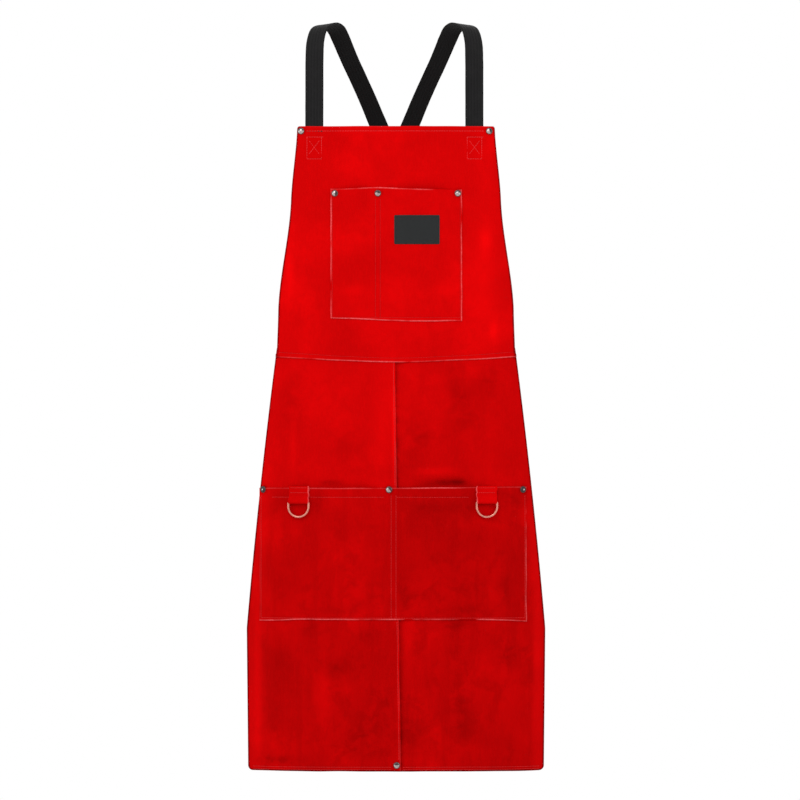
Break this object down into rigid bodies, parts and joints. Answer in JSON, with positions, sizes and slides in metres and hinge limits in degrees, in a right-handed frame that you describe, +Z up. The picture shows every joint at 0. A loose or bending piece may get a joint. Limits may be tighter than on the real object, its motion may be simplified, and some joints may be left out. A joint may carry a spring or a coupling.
{
  "type": "welding apron",
  "caption": "Split-leather bib apron with cross-back webbing straps, a bib pocket with pen slot, a divided waist pocket, riveted corners and hanging D-rings.",
  "frame": {"origin": "on the plane of symmetry, at the underside of the shoulder straps, where they rest on what holds the apron up", "axes": "+Z up, towards the shoulders; -Y out of the apron's front; +X to the right as seen from the front"},
  "size_m": [0.495, 0.2452, 1.2412],
  "materials": {
    "suede": "split cowhide suede, dyed red",
    "suede_tab": "split cowhide suede, dyed red, folded",
    "webbing": "woven black webbing with selvedges",
    "label": "embossed black patch, blank",
    "rivet_nickel": "nickel plated, polished dome",
    "ring_nickel": "nickel plated round wire",
    "slide_steel": "nickel plated strip",
    "thread": "heavy red sewing thread",
    "strap_thread": "heavy red sewing thread"
  },
  "bodies": {
    "apron": {"bib_panel": "suede", "skirt_left_panel": "suede", "skirt_right_panel": "suede", "bib_pocket": "suede", "waist_pocket": "suede", "label_patch": "label", "bib_corner_rivet_caps": "rivet_nickel", "bib_corner_rivet_burrs": "rivet_nickel", "bib_pocket_rivet_caps": "rivet_nickel", "bib_pocket_rivet_burrs": "rivet_nickel", "waist_pocket_rivet_caps": "rivet_nickel", "waist_pocket_rivet_burrs": "rivet_nickel", "hem_rivet_caps": "rivet_nickel", "hem_rivet_burrs": "rivet_nickel", "left_d_ring_tab": "suede_tab", "right_d_ring_tab": "suede_tab", "left_strap": "webbing", "right_strap": "webbing", "left_waist_tab": "suede_tab", "right_waist_tab": "suede_tab", "bib_top_stitching": "thread", "waist_seam_stitching": "thread", "hem_stitching": "thread", "centre_seam_stitching": "thread", "bib_pocket_stitching": "thread", "waist_pocket_stitching": "thread", "strap_stitching": "strap_thread", "d_ring_tab_stitching": "thread"},
    "left_d_ring": {"left_d_ring": "ring_nickel"},
    "left_waist_ring": {"left_waist_ring": "ring_nickel"},
    "left_strap_slide": {"left_strap_slide": "slide_steel"},
    "right_d_ring": {"right_d_ring": "ring_nickel"},
    "right_waist_ring": {"right_waist_ring": "ring_nickel"},
    "right_strap_slide": {"right_strap_slide": "slide_steel"}
  },
  "joints": [
    {"name": "left_d_ring_swing", "type": "hinge", "parent": "apron", "child": "left_d_ring", "pos_m": [-0.161, -0.1163, -0.792], "axis": [-0.9811, 0.1934, 0], "range_deg": [0, 150]},
    {"name": "right_d_ring_swing", "type": "hinge", "parent": "apron", "child": "right_d_ring", "pos_m": [0.15, -0.11805, -0.792], "axis": [-0.9923, -0.1242, 0], "range_deg": [0, 150]},
    {"name": "left_waist_ring_swing", "type": "hinge", "parent": "apron", "child": "left_waist_ring", "pos_m": [-0.185, -0.06142, -0.50475], "axis": [0, -0.5, 0.866], "range_deg": [-8, 8]},
    {"name": "right_waist_ring_swing", "type": "hinge", "parent": "apron", "child": "right_waist_ring", "pos_m": [0.185, -0.06142, -0.50475], "axis": [0, -0.5, 0.866], "range_deg": [-8, 8]},
    {"name": "left_strap_slide_travel", "type": "slide", "parent": "apron", "child": "left_strap_slide", "axis": [0, 0.866, 0.5], "range_m": [-0.018, 0.016]},
    {"name": "right_strap_slide_travel", "type": "slide", "parent": "apron", "child": "right_strap_slide", "axis": [0, 0.866, 0.5], "range_m": [-0.018, 0.016]}
  ]
}
